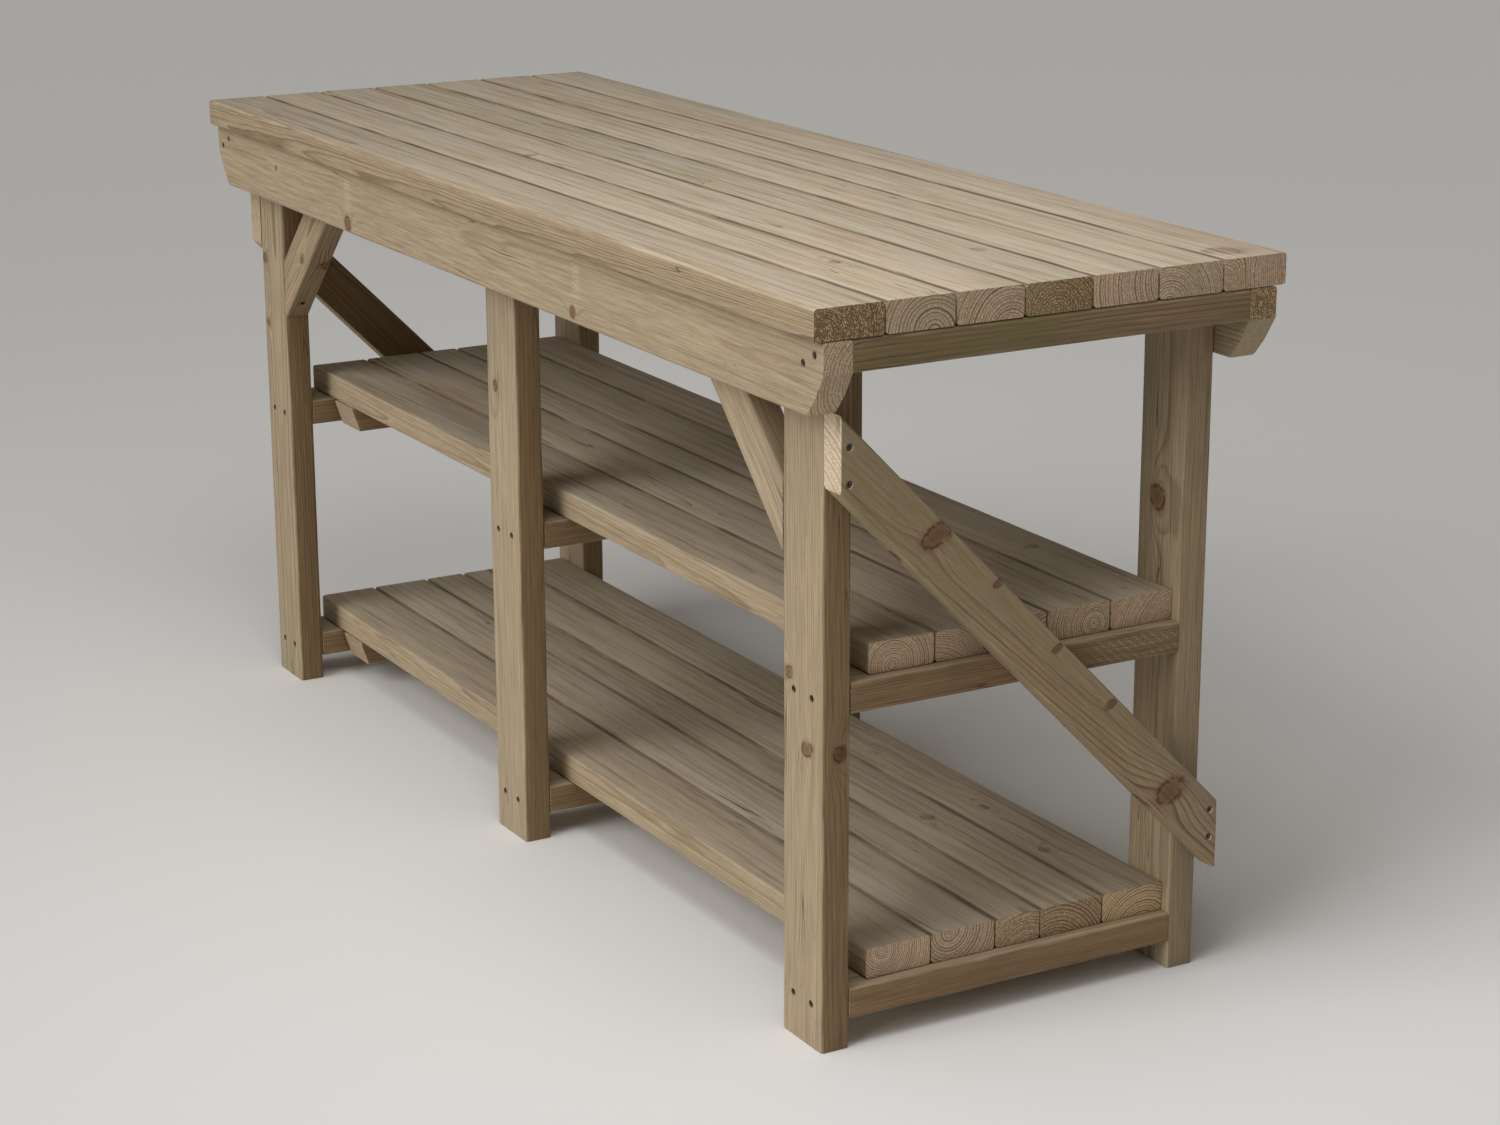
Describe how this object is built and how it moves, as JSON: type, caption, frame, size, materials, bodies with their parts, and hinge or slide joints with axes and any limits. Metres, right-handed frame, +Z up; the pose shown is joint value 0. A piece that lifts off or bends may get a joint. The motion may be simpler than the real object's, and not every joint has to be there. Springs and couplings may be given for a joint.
{
  "type": "potting bench",
  "caption": "Heavy softwood potting bench with a slatted work top on long aprons, front and back legs, slatted shelves on cross rails, diagonal end braces and front knee braces.",
  "frame": {"origin": "on the floor, under the middle of the work top", "axes": "+X along the bench to the right, +Y from the front to the back, +Z up"},
  "size_m": [1.8, 0.6326, 0.895],
  "materials": {
    "top_boards": "pressure-treated softwood, planed and weathered to a grey beige",
    "aprons": "pressure-treated softwood, planed, pale beige",
    "top_battens": "pressure-treated softwood, dark olive brown with fine dark grain lines",
    "legs": "pressure-treated softwood, planed, pale greenish beige",
    "shelf_boards": "pressure-treated softwood, planed, greyish brown",
    "shelf_rails": "pressure-treated softwood, planed, olive brown",
    "braces": "pressure-treated softwood, planed, with dark flowing grain and knots",
    "screw_steel": "plated countersunk wood screws, dulled"
  },
  "bodies": {
    "root": {"apron_screws": "screw_steel", "back_apron": "aprons", "end_brace_left": "braces", "end_brace_right": "braces", "end_brace_screws": "screw_steel", "front_apron": "aprons", "knee_brace_left": "braces", "knee_brace_right": "braces", "knee_brace_screws": "screw_steel", "leg_back_left": "legs", "leg_back_middle": "legs", "leg_back_right": "legs", "leg_front_left": "legs", "leg_front_middle": "legs", "leg_front_right": "legs", "leg_head_screws": "screw_steel", "lower_rail_screws": "screw_steel", "lower_shelf_board_1": "shelf_boards", "lower_shelf_board_2": "shelf_boards", "lower_shelf_board_3": "shelf_boards", "lower_shelf_board_4": "shelf_boards", "lower_shelf_board_5": "shelf_boards", "lower_shelf_cleat_left": "shelf_rails", "lower_shelf_cleat_right": "shelf_rails", "lower_shelf_rail_left": "shelf_rails", "lower_shelf_rail_middle": "shelf_rails", "lower_shelf_rail_right": "shelf_rails", "lower_shelf_screws": "screw_steel", "middle_batten_screws": "screw_steel", "top_batten_left": "top_battens", "top_batten_middle": "top_battens", "top_batten_right": "top_battens", "top_board_1": "top_boards", "top_board_2": "top_boards", "top_board_3": "top_boards", "top_board_4": "top_boards", "top_board_5": "top_boards", "top_board_6": "top_boards", "top_board_7": "top_boards", "top_board_screws": "screw_steel", "upper_rail_screws": "screw_steel", "upper_shelf_board_1": "shelf_boards", "upper_shelf_board_2": "shelf_boards", "upper_shelf_board_3": "shelf_boards", "upper_shelf_board_4": "shelf_boards", "upper_shelf_board_5": "shelf_boards", "upper_shelf_cleat_left": "shelf_rails", "upper_shelf_cleat_right": "shelf_rails", "upper_shelf_rail_left": "shelf_rails", "upper_shelf_rail_middle": "shelf_rails", "upper_shelf_rail_right": "shelf_rails", "upper_shelf_screws": "screw_steel"}
  },
  "joints": []
}
